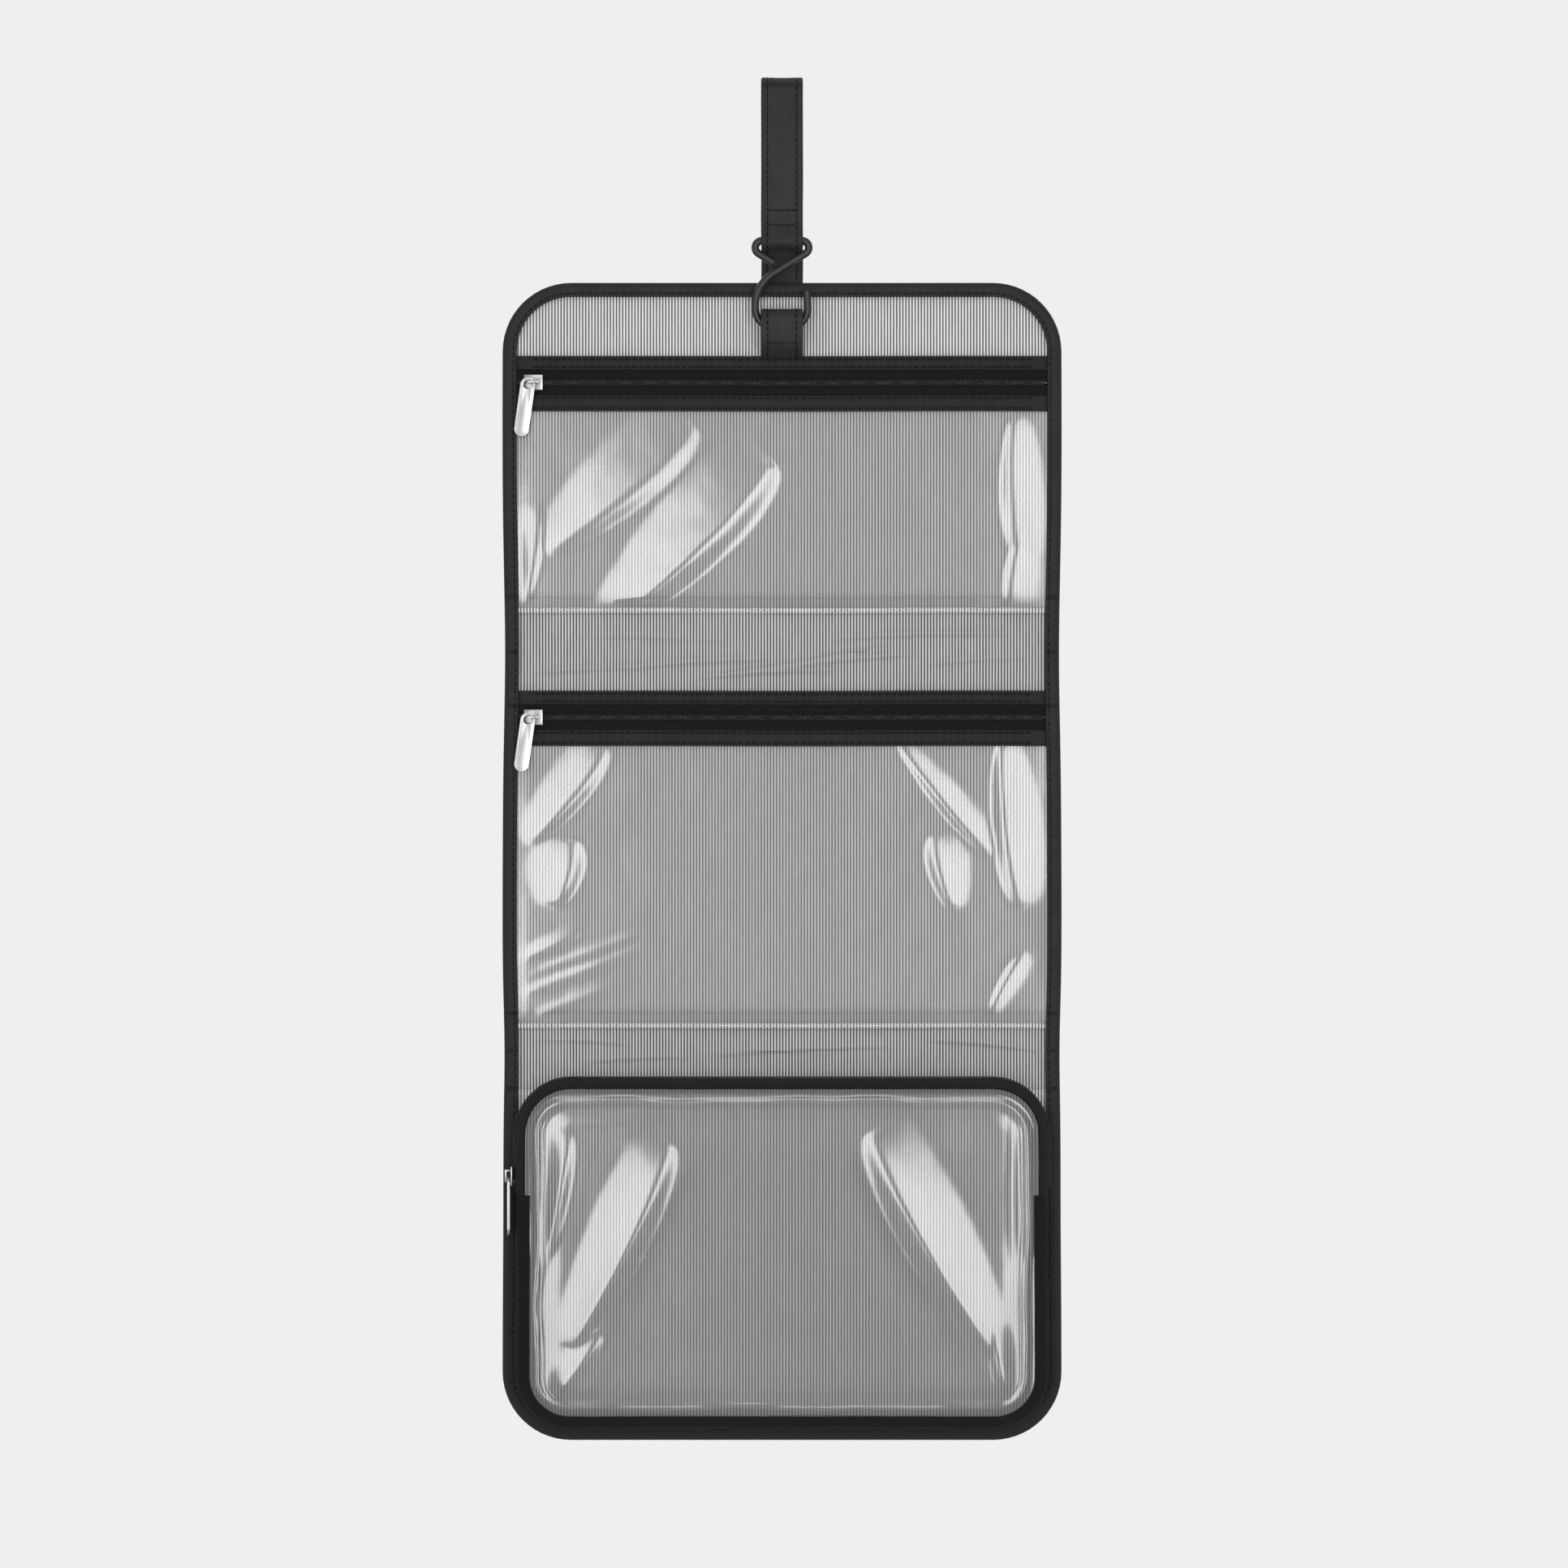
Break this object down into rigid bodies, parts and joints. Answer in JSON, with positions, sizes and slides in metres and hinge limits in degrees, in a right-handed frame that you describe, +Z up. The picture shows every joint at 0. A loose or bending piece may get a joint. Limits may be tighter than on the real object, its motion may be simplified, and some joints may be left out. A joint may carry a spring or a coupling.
{
  "type": "hanging toiletry bag",
  "caption": "Fold-out hanging wash bag: flat clear zip pockets above a shallow zipped box pouch, on a webbing strap with a wire hook, joined by soft fold strips.",
  "frame": {"origin": "centre of the rail that the hanging strap is looped over", "axes": "+X to the right seen from the front, +Y to the back, +Z up; the pockets face -Y"},
  "size_m": [0.254, 0.0248, 0.6192],
  "materials": {
    "black_nylon": "matt black plain-weave nylon, slightly sheened",
    "striped_lining": "fine vertical black and white ticking stripe",
    "clear_vinyl": "soft clear vinyl sheet, glossy",
    "foam": "thin soft foam sheet",
    "zip_tape": "black woven zip tape",
    "zip_coil": "black nylon coil",
    "satin_nickel": "satin nickel plate on cast zinc",
    "hook_wire": "semi-gloss black coated steel wire",
    "webbing": "black ribbed nylon webbing"
  },
  "bodies": {
    "upper_panel": {"upper_shell": "black_nylon", "upper_foam": "foam", "upper_lining": "striped_lining", "upper_binding": "black_nylon", "upper_zip_facing_top": "black_nylon", "upper_zip_facing_bottom": "black_nylon", "upper_zip_tape_top": "zip_tape", "upper_zip_tape_bottom": "zip_tape", "upper_zip_coil_top": "zip_coil", "upper_zip_coil_bottom": "zip_coil", "upper_window": "clear_vinyl", "upper_pocket_hem": "striped_lining", "hang_strap": "webbing", "anchor_loop": "webbing"},
    "hook": {"hook": "hook_wire"},
    "upper_slider": {"upper_slider_body": "satin_nickel", "upper_slider_bail": "satin_nickel"},
    "upper_pull": {"upper_pull_tab": "satin_nickel"},
    "upper_fold_strip": {"upper_fold_shell": "black_nylon", "upper_fold_lining": "striped_lining", "upper_fold_binding_left": "black_nylon", "upper_fold_binding_right": "black_nylon"},
    "middle_panel": {"middle_shell": "black_nylon", "middle_foam": "foam", "middle_lining": "striped_lining", "middle_binding_left": "black_nylon", "middle_binding_right": "black_nylon", "middle_zip_facing_top": "black_nylon", "middle_zip_facing_bottom": "black_nylon", "middle_zip_tape_top": "zip_tape", "middle_zip_tape_bottom": "zip_tape", "middle_zip_coil_top": "zip_coil", "middle_zip_coil_bottom": "zip_coil", "middle_window": "clear_vinyl", "middle_pocket_hem": "striped_lining"},
    "middle_slider": {"middle_slider_body": "satin_nickel", "middle_slider_bail": "satin_nickel"},
    "middle_pull": {"middle_pull_tab": "satin_nickel"},
    "lower_fold_strip": {"lower_fold_shell": "black_nylon", "lower_fold_lining": "striped_lining", "lower_fold_binding_left": "black_nylon", "lower_fold_binding_right": "black_nylon"},
    "pouch": {"pouch_shell": "black_nylon", "pouch_foam": "foam", "pouch_lining": "striped_lining", "pouch_binding": "black_nylon", "pouch_gusset": "black_nylon", "pouch_gusset_lining": "striped_lining", "pouch_zip_strip": "black_nylon", "pouch_zip_tape_back": "zip_tape", "pouch_zip_tape_front": "black_nylon", "pouch_zip_coil_back": "zip_coil", "pouch_zip_coil_front": "zip_coil", "pouch_window": "clear_vinyl"},
    "pouch_slider": {"pouch_slider_body": "satin_nickel", "pouch_slider_bail": "satin_nickel"},
    "pouch_pull": {"pouch_pull_tab": "satin_nickel"}
  },
  "joints": [
    {"name": "hook_swing", "type": "hinge", "parent": "upper_panel", "child": "hook", "pos_m": [0, -0.005, -0.0682], "axis": [1, 0, 0], "range_deg": [-2.5, 2.5]},
    {"name": "upper_zip_travel", "type": "slide", "parent": "upper_panel", "child": "upper_slider", "axis": [1, 0, 0], "range_m": [0, 0.225]},
    {"name": "upper_pull_swing", "type": "hinge", "parent": "upper_slider", "child": "upper_pull", "pos_m": [-0.1152, -0.00245, -0.1321], "axis": [0, 1, 0], "range_deg": [-33, 82]},
    {"name": "upper_fold_top", "type": "hinge", "parent": "upper_panel", "child": "upper_fold_strip", "pos_m": [0, 0, -0.237], "axis": [-1, 0, 0], "range_deg": [0, 117]},
    {"name": "upper_fold_bottom", "type": "hinge", "parent": "upper_fold_strip", "child": "middle_panel", "pos_m": [0, 0, -0.2721], "axis": [-1, 0, 0], "range_deg": [0, 60]},
    {"name": "middle_zip_travel", "type": "slide", "parent": "middle_panel", "child": "middle_slider", "axis": [1, 0, 0], "range_m": [0, 0.225]},
    {"name": "middle_pull_swing", "type": "hinge", "parent": "middle_slider", "child": "middle_pull", "pos_m": [-0.1152, -0.00245, -0.2842], "axis": [0, 1, 0], "range_deg": [-33, 82]},
    {"name": "lower_fold_top", "type": "hinge", "parent": "middle_panel", "child": "lower_fold_strip", "pos_m": [0, 0, -0.4258], "axis": [-1, 0, 0], "range_deg": [0, 89.25]},
    {"name": "lower_fold_bottom", "type": "hinge", "parent": "lower_fold_strip", "child": "pouch", "pos_m": [0, 0, -0.4458], "axis": [-1, 0, 0], "range_deg": [0, 89.25]},
    {"name": "pouch_zip_travel", "type": "slide", "parent": "pouch", "child": "pouch_slider", "axis": [0, 0, 1], "range_m": [0, 0.015]},
    {"name": "pouch_pull_swing", "type": "hinge", "parent": "pouch_slider", "child": "pouch_pull", "pos_m": [-0.12365, -0.009, -0.4941], "axis": [1, 0, 0], "range_deg": [-90, 10]}
  ],
  "couplings": [
    {"joint": "upper_fold_top", "follows": "upper_fold_bottom", "ratio": 1.95},
    {"joint": "lower_fold_bottom", "follows": "lower_fold_top", "ratio": 1}
  ]
}
